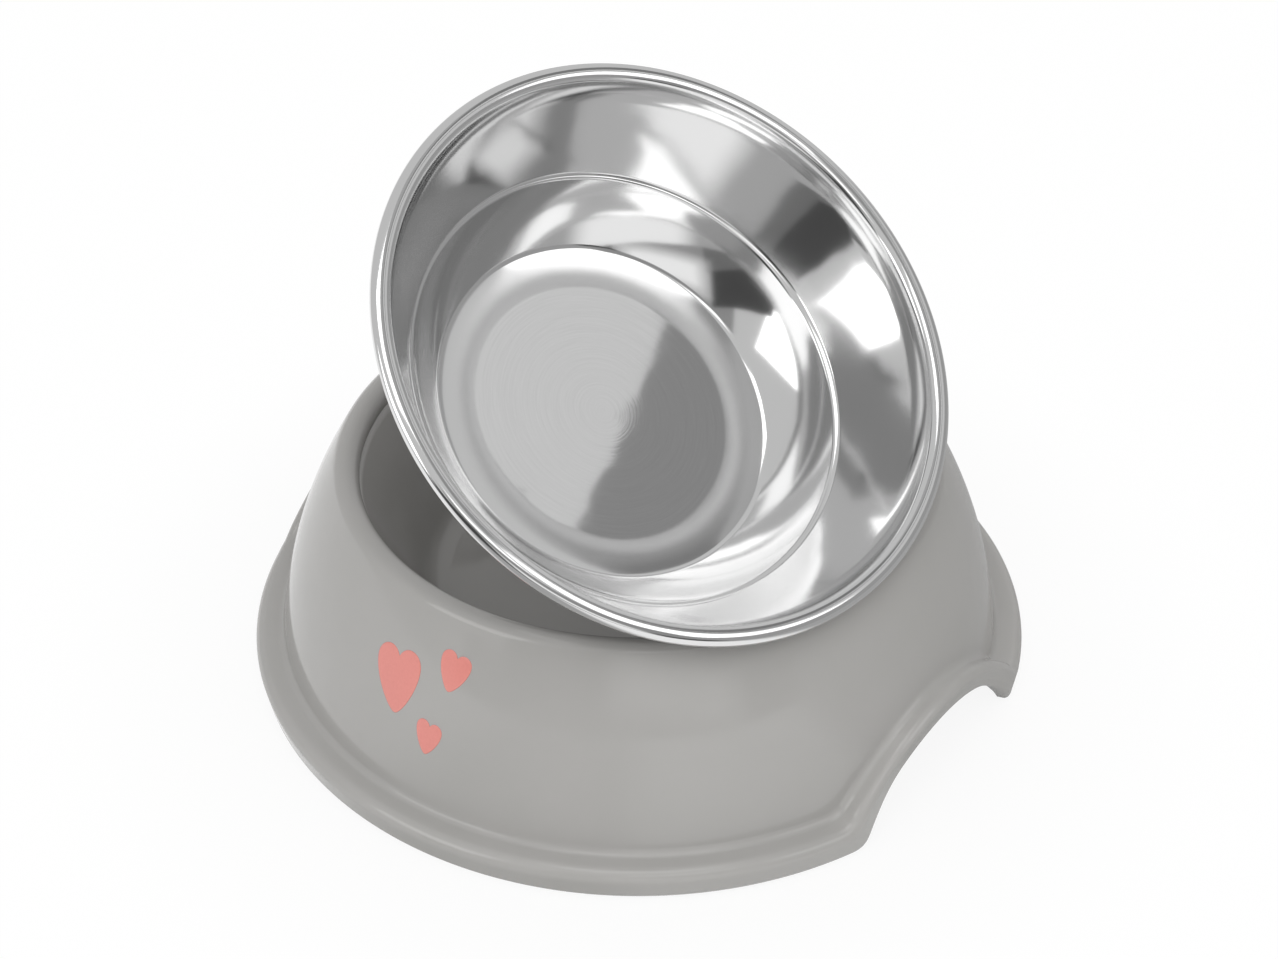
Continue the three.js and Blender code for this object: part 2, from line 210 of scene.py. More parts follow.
# painted shade: mirrors see the table darker everywhere but on the two bright sides
shade = add_node(tree, MATH, "MINIMUM", _0=bright_sides[0], _1=bright_sides[1])
# painted shade: for light that steel throws back onto the plastic, the table is painted nearly dark
shade = add_node(tree, MATH, "MAXIMUM", _0=shade, _1=path.outputs["Diffuse Depth"])
shade = add_node(tree, MATH, "MINIMUM", _0=shade, _1=DARKEST_PAINTED_SHADE)
mirrored = add_node(tree, MATH, "MULTIPLY", _0=path.outputs["Is Glossy Ray"], _1=shade)
glow = add_node(tree, MATH, "SUBTRACT", _0=1.0, _1=mirrored)
lit = add_node(tree, "ShaderNodeBsdfDiffuse", Color=to_linear("#f4f4f3"))
plain = add_node(tree, "ShaderNodeEmission", Color=(1, 1, 1, 1), Strength=glow)
mixed = add_node(tree, "ShaderNodeMixShader", _0=share, _1=lit, _2=plain)
add_node(tree, "ShaderNodeOutputMaterial", Surface=mixed)

TABLE_HALF = 6.0
TABLE_DROP = 0.0002
corners = [(-1, -1), (1, -1), (1, 1), (-1, 1)]
table = mesh_piece(
    "table", [(x * TABLE_HALF, y * TABLE_HALF, -TABLE_DROP) for x, y in corners], [(0, 1, 2, 3)], table_paint
)
print("table", 2 * TABLE_HALF, "m wide")

# %% [markdown]
# The studio round the table is an even grey, a little paler in a mirror. Two soft boxes hang at the height of the
# eye and one overhead. The light above the camera, and the low one at the back, which keeps the far side of the
# holder from going dark, are hidden from mirrors and only give diffuse light. Directions are given as in the
# picture: the turn is counted from the right of the picture towards the back, so the camera stands at -90 degrees,
# and the rise is the height over the table.

# %% Studio light
world = bpy.data.worlds.new("studio")
world.use_nodes = True
tree = world.node_tree
tree.nodes.clear()
path = add_node(tree, "ShaderNodeLightPath")
lighting = add_node(tree, "ShaderNodeBackground", Color=to_linear("#959595"), Strength=1.0)
mirrored = add_node(tree, "ShaderNodeBackground", Color=to_linear("#cecece"), Strength=1.0)
in_mirror = add_node(
    tree, MATH, {"operation": "SUBTRACT", "use_clamp": True},
    _0=path.outputs["Is Glossy Ray"], _1=path.outputs["Diffuse Depth"],
)
both = add_node(tree, "ShaderNodeMixShader", _0=in_mirror, _1=lighting, _2=mirrored)
add_node(tree, "ShaderNodeOutputWorld", Surface=both)
scene.world = world
STUDIO_MIDDLE = Vector((0, 0, 0.070))
STUDIO_RADIUS = 1.3


def studio_direction(turn, rise):
    angle = math.radians(turn) + VIEW_TURN
    level = math.cos(math.radians(rise))
    return Vector((math.cos(angle) * level, math.sin(angle) * level, math.sin(math.radians(rise))))


def soft_box(name, turns, rises, radiance, mirrored=True):
    turn, rise = sum(turns) / 2, sum(rises) / 2
    half_turn, half_rise = (turns[1] - turns[0]) / 2, (rises[1] - rises[0]) / 2
    width = 2 * STUDIO_RADIUS * math.tan(math.radians(half_turn)) * math.cos(math.radians(rise))
    height = 2 * STUDIO_RADIUS * math.tan(math.radians(half_rise))
    lamp = bpy.data.lights.new(name, "AREA")
    lamp.shape = "RECTANGLE"
    lamp.size, lamp.size_y = width, height
    lamp.energy = radiance * math.pi * width * height
    lamp_object = bpy.data.objects.new(name, lamp)
    scene.collection.objects.link(lamp_object)
    lamp_object.visible_glossy = mirrored
    away = studio_direction(turn, rise)
    lamp_object.location = STUDIO_MIDDLE + away * STUDIO_RADIUS
    lamp_object.rotation_euler = away.to_track_quat("Z", "Y").to_euler()
    print(name, round(width, 2), "x", round(height, 2), "m,", round(lamp.energy, 2), "W")


soft_box("soft_box_left", (-166, -129), (17, 40), 1.6)
soft_box("soft_box_right", (-48, -6), (25, 51), 1.0)
soft_box("soft_box_top", (-130, -20), (66, 90), 1.4)
soft_box("soft_box_camera", (-128, -60), (31, 64), 2.85, mirrored=False)
soft_box("soft_box_back", (40, 140), (6, 28), 2.2, mirrored=False)

# %% [markdown]
# Polished steel shows its surroundings: with nothing dark to mirror, it looks like white paint. So grey and black
# cards hang round the table, as a photographer hangs them. They are curved sheets that only a mirror sees, and
# they give no light to the rest. The white ones are the bright faces of the boxes, which also draw the thin lights
# along the round edges of the plastic. The front one is feathered: it fades out towards its edges, so that the
# glossy wall shows a soft glow and not a rectangle.

# %% Cards for the steel to mirror
CARD_COLUMNS, CARD_ROWS = 15, 7
FEATHER_COLUMNS, FEATHER_ROWS = 3, 2
FEATHERED_CARDS = {"card_white_front"}


def card(name, turns, rises_left, rises_right, grey, away):
    paint = bpy.data.materials.new(name)
    paint.use_nodes = True
    tree = paint.node_tree
    tree.nodes.clear()
    path = add_node(tree, "ShaderNodeLightPath")
    clamped = {"operation": "SUBTRACT", "use_clamp": True}
    shut = add_node(tree, MATH, clamped, _0=1.0, _1=path.outputs["Diffuse Depth"])
    strength = add_node(tree, MATH, "MULTIPLY", _0=shut, _1=grey)
    glow = add_node(tree, "ShaderNodeEmission", Color=(1, 1, 1, 1), Strength=strength)
    inside = add_node(tree, "ShaderNodeAttribute", {"attribute_name": "inside"})
    clear = add_node(tree, "ShaderNodeBsdfTransparent")
    faded = add_node(tree, "ShaderNodeMixShader", _0=inside.outputs["Fac"], _1=clear, _2=glow)
    add_node(tree, "ShaderNodeOutputMaterial", Surface=faded if name in FEATHERED_CARDS else glow)
    low = np.linspace(rises_left[0], rises_right[0], CARD_COLUMNS)
    high = np.linspace(rises_left[1], rises_right[1], CARD_COLUMNS)
    points = [
        STUDIO_MIDDLE + studio_direction(turn, low[i] + (high[i] - low[i]) * f) * away
        for f in np.linspace(0, 1, CARD_ROWS) for i, turn in enumerate(np.linspace(*turns, CARD_COLUMNS))
    ]
    quads = [
        (k, k + CARD_COLUMNS, k + CARD_COLUMNS + 1, k + 1)
        for j in range(CARD_ROWS - 1) for k in range(j * CARD_COLUMNS, (j + 1) * CARD_COLUMNS - 1)
    ]
    sheet = mesh_piece(name, points, quads, paint)
    fade = [
        min(1.0, min(i, CARD_COLUMNS - 1 - i) / FEATHER_COLUMNS, min(j, CARD_ROWS - 1 - j) / FEATHER_ROWS)
        for j in range(CARD_ROWS) for i in range(CARD_COLUMNS)
    ]
    sheet.data.attributes.new("inside", "FLOAT", "POINT").data.foreach_set("value", fade)
    sheet.visible_camera = sheet.visible_diffuse = sheet.visible_shadow = False


# turns, lower and upper rise at the left end, the same at the right end, how bright; each hangs before the last one
CARDS = {
    "card_white_top": ((-130, -20), (66, 88), (66, 88), 1.8),
    "card_grey_front": ((-112, -36), (-3.2, 37.5), (-3.2, 30), 0.3),
    "card_white_high": ((-94, -62), (37.5, 48), (37.5, 48), 1.5),
    "card_dark_left": ((-146, -98), (-3.2, 10), (-3.2, 10), 0.17),
    "card_black_left": ((-133, -100), (-3.2, 20), (9, 27), 0.07),
    "card_white_front": ((-102, -57), (2, 28), (-6, 11), 1.0),
    "card_black_right": ((-58, -36), (-3.2, 8), (-3.2, 8), 0.1),
    "card_grey_right": ((-42, 45), (-3.2, 24), (-3.2, 24), 0.36),
    "card_grey_high": ((-48, 45), (60, 76), (60, 76), 0.42),
    "card_dark_high": ((-48, 45), (51.5, 60), (50, 60), 0.3),
    "card_light_middle": ((-9, 13), (48.2, 54), (45.5, 54), 0.72),
    "card_dark_middle": ((-8, 46), (44, 48.1), (41, 44), 0.3),
    "card_dark_right": ((13, 46), (44, 61), (44, 61), 0.22),
    "card_black_middle": ((-10, 0.5), (49.5, 52), (49.5, 52), 0.15),
}
CARD_AWAY, CARD_STEP = 1.2, 0.005
for number, (name, settings) in enumerate(CARDS.items()):
    card(name, *settings, CARD_AWAY - number * CARD_STEP)
print("cards:", list(CARDS))

# %% [markdown]
# The holder is one moulded shell. Its wall is a single arc in section that runs into a round rim, and its foot
# ends in a raised band. The clever part is the lower edge: over two opposite finger arches the band leaves the
# floor, climbs over the arch and gets smaller on the way. That is one rule, so the shell is made from it: on the
# wall rolled out flat, every point knows its distance from the lower edge, and the band is a fixed profile drawn
# at that distance. A fine grid of sections round the axis then gives a smooth shell, closed at the seam.

# %% Holder sizes, in millimetres
HOLDER_HEIGHT = 52.6
RIM_RADIUS = 66.2
RIM_ROUND = 3.2
WALL_THICKNESS = 4.0
WALL_BELLY = 110.0
WALL_FOOT_RADIUS = 82.8
FOOT_LIFT = 0.5
BAND_HEIGHT, ARCH_BAND_HEIGHT = 7.4, 5.7
BAND_REACH, ARCH_BAND_REACH = 6.4, 4.5
BAND_EDGE, ARCH_BAND_EDGE = 2.3, 1.6
BAND_LEAN = 1.0
BAND_TOE = 1.4
FOOT_FILLET = 1.5
ARCH_HALF_WIDTH, ARCH_HEIGHT = 29.3, 18.4
ARCH_BLEND = 14.0
TOE_ROUND = 2.6
MIDDLE_OF_BAND = 0.53
FOOT_CIRCLE = WALL_FOOT_RADIUS + MIDDLE_OF_BAND * BAND_REACH
# the lip inside the band: least height of its fillet and of its ledge, and how far it lies behind the toe
LIP_FILLET_LOW, LIP_LEDGE_LOW, LIP_BEHIND_TOE = 0.8, 0.6, 0.4
STEEPEST_BLEND = math.radians(80)
BLEND_HALVINGS, EDGE_HALVINGS = 50, 46

rim_centre = HOLDER_HEIGHT - RIM_ROUND
wall_foot = FOOT_LIFT + BAND_HEIGHT + FOOT_FILLET
belly_reach = WALL_BELLY - RIM_ROUND
low, high = 0.0, STEEPEST_BLEND
for _ in range(BLEND_HALVINGS):
    rim_blend = (low + high) / 2
    centre_r = RIM_RADIUS - belly_reach * math.cos(rim_blend)
    centre_z = rim_centre - belly_reach * math.sin(rim_blend)
    too_far = math.hypot(WALL_FOOT_RADIUS - centre_r, wall_foot - centre_z) > WALL_BELLY
    low, high = (rim_blend, high) if too_far else (low, rim_blend)
wall_top = rim_centre + RIM_ROUND * math.sin(rim_blend)


def wall_radius(z):
    return centre_r + np.sqrt(WALL_BELLY**2 - (z - centre_z) ** 2)


print("wall runs into the rim at", round(math.degrees(rim_blend), 2), "degrees, z", round(wall_top, 2), "mm")

# %% [markdown]
# The lower edge as a rule. The distance is the smaller of the height over the foot line and the distance from
# the arch's circle, with a soft corner where the two meet. A second number says how far up the arch a point
# lies, and the band's size follows it.

# %% The edge rule
arch_radius = (ARCH_HALF_WIDTH**2 + ARCH_HEIGHT**2) / (2 * ARCH_HEIGHT)
arch_centre = FOOT_LIFT + ARCH_HEIGHT - arch_radius


def smooth(value, start, end):
    t = np.clip((value - start) / (end - start), 0, 1)
    return t * t * (3 - 2 * t)


def edge_distance(s, z):
    to_foot = z - FOOT_LIFT
    to_arch = np.hypot(s, z - arch_centre) - arch_radius
    overlap = np.maximum(TOE_ROUND - np.abs(to_foot - to_arch), 0)
    return np.minimum(to_foot, to_arch) - overlap**2 / (4 * TOE_ROUND)


def arch_share(s, z):
    to_foot = z - FOOT_LIFT
    away = np.hypot(s, z - arch_centre)
    climb = arch_centre + (z - arch_centre) * arch_radius / away - FOOT_LIFT
    near_arch = smooth(to_foot - (away - arch_radius), -TOE_ROUND / 2, TOE_ROUND / 2)
    return smooth(climb, 0, ARCH_BLEND) * near_arch


def edge_row(s, profile):
    # profile gives distance from the edge and reach beyond the wall for a band of that height, reach and edge
    def sizes(z):
        share = arch_share(s, z)
        height = BAND_HEIGHT + (ARCH_BAND_HEIGHT - BAND_HEIGHT) * share
        reach = BAND_REACH + (ARCH_BAND_REACH - BAND_REACH) * share
        edge = BAND_EDGE + (ARCH_BAND_EDGE - BAND_EDGE) * share
        return profile(height, reach, edge)

    low, high = np.full(len(s), FOOT_LIFT), np.full(len(s), wall_top)
    for _ in range(EDGE_HALVINGS):
        z = (low + high) / 2
        below = edge_distance(s, z) < sizes(z)[0]
        low, high = np.where(below, z, low), np.where(below, high, z)
    return wall_radius(z) + sizes(z)[1], z


print("arch radius", round(arch_radius, 2), "mm, crest", FOOT_LIFT + ARCH_HEIGHT, "mm above the table")

# %% [markdown]
# The shell's section, row by row: up the face of the band, over its ledge, through a small fillet to the wall,
# up the wall, round the rim and down the inside to the lip again.

# %% Holder shell
ARCH_COLUMNS, FOOT_COLUMNS = 40, 62
TOE_COLUMNS = np.array([0.5, 1.0, 2.6, 3.4])
TOE_ROWS, EDGE_ROWS, FILLET_ROWS, WALL_ROWS, RIM_ROWS, INSIDE_ROWS, INNER_FILLET_ROWS = 7, 9, 7, 27, 28, 16, 8
FACE_SHARES, LEDGE_SHARES = (0.25, 0.5, 0.75), (0.3, 0.6, 0.85)
RIM_END, INNER_FILLET_END = 225, 20
# lift over the edge, where none is the height of the ledge, and how far back
LIP_ROWS = ((None, 0.4), (0.3, 0.0), (0.0, -0.3))

quarter_arch = arch_radius * np.sin(np.linspace(0, math.asin(ARCH_HALF_WIDTH / arch_radius), ARCH_COLUMNS))
quarter_foot = np.linspace(ARCH_HALF_WIDTH, FOOT_CIRCLE * math.pi / 2, FOOT_COLUMNS)[1:]
quarter_toe = ARCH_HALF_WIDTH + TOE_COLUMNS
quarter = np.unique(np.round(np.concatenate([quarter_arch, quarter_toe, quarter_foot]), 6))
angles = np.concatenate([quarter, 2 * quarter[-1] - quarter[-2:0:-1]]) / FOOT_CIRCLE
angles = np.concatenate([angles, angles + math.pi])
along = np.abs((angles + math.pi / 2) % math.pi - math.pi / 2) * FOOT_CIRCLE


def band_rows(profiles):
    return [edge_row(along, profile) for profile in profiles]


inner_round = FOOT_FILLET + WALL_THICKNESS
rows = band_rows(
    lambda h, q, e, t=t: (BAND_TOE * (1 + math.sin(t)) + 0 * h, q - BAND_LEAN - BAND_TOE * (1 - math.cos(t)))
    for t in np.radians(np.linspace(-90, 0, TOE_ROWS))
)
rows += band_rows(
    lambda h, q, e, f=f: (BAND_TOE + (h - e - BAND_TOE) * f, q - BAND_LEAN * (1 - f)) for f in FACE_SHARES
)
rows += band_rows(
    lambda h, q, e, t=t: (h - e * (1 - math.sin(t)), q - e * (1 - math.cos(t)))
    for t in np.radians(np.linspace(0, 90, EDGE_ROWS))
)
rows += band_rows(lambda h, q, e, f=f: (h + 0 * q, (q - e) * (1 - f) + FOOT_FILLET * f) for f in LEDGE_SHARES)
rows += band_rows(
    lambda h, q, e, t=t: (h + FOOT_FILLET * (1 - math.cos(t)), FOOT_FILLET * (1 - math.sin(t)) + 0 * h)
    for t in np.radians(np.linspace(0, 90, FILLET_ROWS))
)
wall_start = rows[-1][1]
for f in np.linspace(0, 1, WALL_ROWS)[1:-1]:
    z = wall_start + (wall_top - wall_start) * f
    rows.append((wall_radius(z), z))
for t in np.linspace(rim_blend, math.radians(RIM_END), RIM_ROWS):
    around = RIM_RADIUS + RIM_ROUND * math.cos(t), rim_centre + RIM_ROUND * math.sin(t)
    rows.append([np.full(len(along), value) for value in around])
inner_rows = band_rows(
    lambda h, q, e, t=t: (
        np.maximum(h + FOOT_FILLET - inner_round * math.cos(t), LIP_FILLET_LOW),
        FOOT_FILLET - inner_round * math.sin(t) + 0 * h,
    )
    for t in np.radians(np.linspace(90, INNER_FILLET_END, INNER_FILLET_ROWS))
)
inner_rows += band_rows(
    lambda h, q, e, lift=lift, back=back: (
        np.maximum(h - WALL_THICKNESS, LIP_LEDGE_LOW) if lift is None else lift + 0 * h,
        np.minimum(np.maximum(q - WALL_THICKNESS, FOOT_FILLET), q - BAND_LEAN - BAND_TOE - LIP_BEHIND_TOE) - back,
    )
    for lift, back in LIP_ROWS
)
inner_top = rim_centre - 2 * RIM_ROUND
for f in np.linspace(0, 1, INSIDE_ROWS)[:-1]:
    z = inner_top + (inner_rows[0][1] - inner_top) * f
    rows.append((wall_radius(z) - WALL_THICKNESS, z))
rows += inner_rows

points = np.stack([[r * np.cos(angles), r * np.sin(angles), z] for r, z in rows]).transpose(2, 0, 1) * MM
columns, count = points.shape[:2]
faces = []
for i in range(columns):
    for j in range(count):
        k, up = (i + 1) % columns, (j + 1) % count
        faces.append((i * count + j, k * count + j, k * count + up, i * count + up))
print("holder shell:", columns, "sections of", count, "points")

# %% [markdown]
# The holder is injection moulded: a warm grey satin-gloss plastic (ABS or melamine), smooth, with a soft sheen.
# The colour goes through the whole piece. Up close it has a faint cloudiness from the mould flow and a very
# slight orange peel, both drawn a little coarser than life so that they show.

# %% Holder plastic
PLASTIC_IOR = 1.52


def mottled_finish(name, colours, clouds, dullness, grain, relief=None):
    # clouds mix the two colours and grain sets the roughness, each a width in mm and a detail; relief is the
    # strength and depth in mm of the grain
    finish = bpy.data.materials.new(name)
    finish.use_nodes = True
    tree = finish.node_tree
    shader = tree.nodes["Principled BSDF"]
    place = add_node(tree, "ShaderNodeTexCoord")
    cloud, fine = [
        add_node(tree, "ShaderNodeTexNoise", Vector=place.outputs["Object"], Scale=1 / (wide * MM), Detail=detail)
        for wide, detail in (clouds, grain)
    ]
    tint = add_node(
        tree, "ShaderNodeMix", {"data_type": "RGBA"},
        _0=cloud.outputs["Fac"], _6=to_linear(colours[0]), _7=to_linear(colours[1]),
    )
    tree.links.new(tint.outputs[2], shader.inputs["Base Color"])
    dull = add_node(tree, "ShaderNodeMapRange", _0=fine.outputs["Fac"], _3=dullness[0], _4=dullness[1])
    tree.links.new(dull.outputs[0], shader.inputs["Roughness"])
    if relief:
        strength, deep = relief
        bump = add_node(tree, "ShaderNodeBump", Height=fine.outputs["Fac"], Strength=strength, Distance=deep * MM)
        tree.links.new(bump.outputs[0], shader.inputs["Normal"])
    print("finish", name)
    return finish


holder_plastic = mottled_finish(
    "moulded_grey_plastic", ("#b1afad", "#abaaa7"), (22, 3.0), (0.07, 0.11), (2.2, 2.0), relief=(0.04, 0.02)
)
holder_plastic.node_tree.nodes["Principled BSDF"].inputs["IOR"].default_value = PLASTIC_IOR

holder = mesh_piece("holder_shell", points.reshape(-1, 3), faces, holder_plastic)
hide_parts("holder")
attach(holder, "holder")
print("holder:", len(holder.data.polygons), "faces")

# %% [markdown]
# Well, bosses, rubber feet and steel bowl are all turned shapes, so one node tree makes them: a grid, one way
# along a profile and the other way round the axis. The profile comes in as a curve object, and Sample Index reads
# it at each row. The points that fall together at the axis and at the seam are merged, so the shape is closed. The
# tree also stores each point's own place in the shape, in millimetres, for materials that run in circles round it.

# %% Turning by nodes
def curve_object(name, outline):
    data = bpy.data.curves.new(name, "CURVE")
    data.dimensions = "3D"
    spline = data.splines.new("POLY")
    spline.points.add(len(outline) - 1)
    for point, (r, h) in zip(spline.points, outline):
        point.co = (r, 0, h, 1)
    piece = bpy.data.objects.new(name, data)
    scene.collection.objects.link(piece)
    return piece


# points closer than this, in millimetres, are one point
MERGE_GAP = 0.0005
SHEET_INPUTS = {"Profile": "Object", "Rows": "Int", "Steps round": "Int", "Finish": "Material"}
turning, given = open_tree("turned_sheet", SHEET_INPUTS, "Turned")
shape = add_node(turning, "GeometryNodeObjectInfo", Object=given.outputs["Profile"])
one_more = add_node(turning, MATH, "ADD", _0=given.outputs["Steps round"], _1=1.0)
grid = add_node(
    turning, "GeometryNodeMeshGrid", Size_X=1.0, Size_Y=1.0,
    Vertices_X=given.outputs["Rows"], Vertices_Y=one_more,
)
spot = add_node(turning, "GeometryNodeInputPosition")
spot_axes = add_node(turning, SPLIT, Vector=spot)
row_share = add_node(turning, MATH, "ADD", _0=spot_axes.outputs["X"], _1=0.5)
last_row = add_node(turning, MATH, "SUBTRACT", _0=given.outputs["Rows"], _1=1.0)
row_number = add_node(turning, MATH, "MULTIPLY", _0=row_share, _1=last_row)
row_index = add_node(turning, MATH, "ROUND", _0=row_number)
profile_spot = add_node(turning, "GeometryNodeInputPosition")
row_point = add_node(
    turning, "GeometryNodeSampleIndex", PER_POINT,
    Geometry=shape.outputs["Geometry"], Value=profile_spot, Index=row_index,
)
row_axes = add_node(turning, SPLIT, Vector=row_point)
turn = add_node(turning, MATH, "MULTIPLY_ADD", _0=spot_axes.outputs["Y"], _1=2 * math.pi, _2=math.pi)
cosine, sine = [add_node(turning, MATH, way, _0=turn) for way in ("COSINE", "SINE")]
across, deep = [add_node(turning, MATH, "MULTIPLY", _0=row_axes.outputs["X"], _1=way) for way in (cosine, sine)]
turned_place = add_node(turning, COMBINE, X=across, Y=deep, Z=row_axes.outputs["Z"])
stored = add_node(
    turning, "GeometryNodeStoreNamedAttribute", PER_POINT,
    Geometry=grid.outputs["Mesh"], Name="own_place", Value=turned_place,
)
to_metres = add_node(turning, VECTOR_MATH, "SCALE", _0=turned_place, Scale=MM)
laid = add_node(turning, "GeometryNodeSetPosition", Geometry=stored, Position=to_metres)
joined = add_node(turning, "GeometryNodeMergeByDistance", Geometry=laid, Distance=MERGE_GAP * MM)
soft = add_node(turning, "GeometryNodeSetShadeSmooth", Geometry=joined)
end_tree(turning, soft, given.outputs["Finish"], "Turned")

# %% [markdown]
# Inside, the holder is a closed pan: the well, which the bowl hangs in with some room beside and below it. Its top
# runs into the round of the rim, so the two read as one moulding.

# %% Well of the holder
WELL_FLOOR = 16.0
WELL_FLAT = 44.0
WELL_CORNER = 6.0
WELL_THICKNESS = 3.0
WELL_TUCK, WELL_TOP_DROP = 0.3, 0.4
# the corner's end and bend as shares of its width, and the wall's bend as a share of its height and a reach
CORNER_END, CORNER_BEND = np.array([1, 0.67]), np.array([0.75, 0.05])
WALL_BEND_SHARE, WALL_BEND = 0.48, np.array([-0.7, 0])
WELL_STEPS, WELL_FLOOR_ROWS, WELL_CORNER_ROWS, WELL_WALL_ROWS = 144, 9, 10, 14


def bend_points(a, b, c, steps):
    t = np.linspace(0, 1, steps + 1)[:, None]
    return (1 - t) ** 2 * np.array(a) + 2 * t * (1 - t) * np.array(b) + t**2 * np.array(c)


def other_face(line, thickness):
    way = np.gradient(line, axis=0)
    way /= np.linalg.norm(way, axis=1)[:, None]
    other = line + thickness * np.stack([way[:, 1], -way[:, 0]], axis=1)
    other[0, 0] = 0
    return other


def turned(name, outline, steps_round, finish, tree=turning, places=None):
    outline_curve = curve_object(name + "_profile", outline)
    sizes = {"Profile": outline_curve, "Rows": len(outline), "Steps round": steps_round, "Finish": finish}
    piece = run_tree(name, tree, {**sizes, **(places or {})})
    bpy.data.objects.remove(outline_curve)
    return piece


well_flat = np.array([WELL_FLAT, WELL_FLOOR])
well_side = well_flat + WELL_CORNER * CORNER_END
well_top = np.array([RIM_RADIUS - RIM_ROUND + WELL_TUCK, rim_centre - WELL_TOP_DROP])
well_middle = well_side + WALL_BEND_SHARE * (well_top - well_side) + WALL_BEND
well_inside = np.vstack([
    [(r, WELL_FLOOR) for r in np.linspace(0, WELL_FLAT, WELL_FLOOR_ROWS)[:-1]],
    bend_points(well_flat, well_flat + WELL_CORNER * CORNER_BEND, well_side, WELL_CORNER_ROWS),
    bend_points(well_side, well_middle, well_top, WELL_WALL_ROWS)[1:],
])
well_profile = np.vstack([other_face(well_inside, WELL_THICKNESS), well_inside[::-1]])
well = turned("holder_well", well_profile, WELL_STEPS, holder_plastic)
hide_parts("holder")
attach(well, "holder")
print("well:", len(well.data.polygons), "faces, floor at", WELL_FLOOR, "mm")

# %% [markdown]
# Under the foot sit four rubber feet, each pushed into a small boss. They repeat, so a second tree sets the turned
# shape at four places: two on each plain side, mirrored about the arches, clear of the finger openings.

# %% Bosses and rubber feet by nodes
FOOT_COUNT = 4
FOOT_INPUTS = {**SHEET_INPUTS, "First angle": "Float", "Circle": "Float"}
foot_set, given = open_tree("set_round_the_foot", FOOT_INPUTS, "Set")
same = {label: given.outputs[label] for label in SHEET_INPUTS}
one = add_node(foot_set, "GeometryNodeGroup", {"node_tree": turning}, **same)
number = add_node(foot_set, "GeometryNodeInputIndex")
half = add_node(foot_set, MATH, "MULTIPLY", _0=number, _1=0.5)
side = add_node(foot_set, MATH, "FLOOR", _0=half)
odd = add_node(foot_set, MATH, "MODULO", _0=number, _1=2.0)
between = add_node(foot_set, MATH, "MULTIPLY_ADD", _0=given.outputs["First angle"], _1=-2.0, _2=math.pi)
mirrored = add_node(foot_set, MATH, "MULTIPLY_ADD", _0=odd, _1=between, _2=given.outputs["First angle"])
angle = add_node(foot_set, MATH, "MULTIPLY_ADD", _0=side, _1=math.pi, _2=mirrored)
out = add_node(foot_set, MATH, "MULTIPLY", _0=given.outputs["Circle"], _1=MM)
cosine, sine = [add_node(foot_set, MATH, way, _0=angle) for way in ("COSINE", "SINE")]
place = add_node(foot_set, COMBINE, X=cosine, Y=sine, Z=0.0)
place = add_node(foot_set, VECTOR_MATH, "SCALE", _0=place, Scale=out)
spots = add_node(foot_set, "GeometryNodePoints", Count=FOOT_COUNT, Position=place)
copies = add_node(foot_set, "GeometryNodeInstanceOnPoints", Points=spots, Instance=one)
end_tree(foot_set, copies, given.outputs["Finish"], "Set")

# %% [markdown]
# The feet are soft black rubber (SBR), moulded: dull, nearly black, with a fine spark-eroded grain from the mould
# and a little grey dust in it. The grain is drawn about 0.25 mm wide so that it shows.

# %% Rubber, bosses and feet
foot_rubber = mottled_finish(
    "moulded_black_rubber", ("#343331", "#43413f"), (3, 4.0), (0.7, 0.9), (0.25, 2.0), relief=(0.4, 0.03)
)

FOOT_STEPS = 40
FIRST_FOOT_ANGLE = math.radians(60)
RUBBER_INSET = 2.1
RUBBER_CIRCLE = WALL_FOOT_RADIUS - RUBBER_INSET
BOSS_SOFTNESS, RUBBER_SOFTNESS = 0.35, 0.4
# a rounded corner takes at most this share of the shorter side beside it
CORNER_SHARE, CORNER_ROWS = 0.45, 5
BOSS = [(0, 4.7), (2.3, 4.7), (2.3, 1.5), (4.5, 1.5), (4.5, 5.7), (0, 5.7)]
RUBBER_FOOT = [(0, 0.35), (1.6, 0.35), (1.9, 0), (4.0, 0), (4.0, 1.2), (2.0, 1.2), (2.0, 4.4), (0, 4.4)]


def rounded(outline, radius):
    # rounds the corners of a profile between its two ends, so that it shades softly
    line = [np.array(p, float) for p in outline]
    points = [line[0]]
    for before, corner, after in zip(line, line[1:], line[2:]):
        back, on = before - corner, after - corner
        lengths = np.linalg.norm(back), np.linalg.norm(on)
        reach = min(radius, CORNER_SHARE * min(lengths))
        start, end = corner + back / lengths[0] * reach, corner + on / lengths[1] * reach
        points += list(bend_points(start, corner, end, CORNER_ROWS))
    return np.array(points + [line[-1]])


def round_the_foot(name, outline, finish, nodes):
    places = {"First angle": FIRST_FOOT_ANGLE, "Circle": RUBBER_CIRCLE}
    piece = turned(name, outline, FOOT_STEPS, finish, foot_set, places)
    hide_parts(*nodes)
    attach(piece, "holder")
    print(name, len(piece.data.polygons), "faces")


round_the_foot("foot_bosses", rounded(BOSS, BOSS_SOFTNESS), holder_plastic, ["holder"])
FEET = [f"rubber_foot_{number}" for number in range(1, FOOT_COUNT + 1)]
round_the_foot("rubber_feet", rounded(RUBBER_FOOT, RUBBER_SOFTNESS), foot_rubber, FEET)

# %% [markdown]
# Three hearts are printed on the plain side of the wall. A print is a thin film of ink that follows the surface, so
# a node tree makes it: a flat heart, drawn as a polar grid from its middle to its outline, is set at three places
# with its own width, height and tilt, and then every point is bent onto the arc of the wall. The film is closed:
# its back lies just inside the plastic and its front stands about a tenth of a millimetre proud.

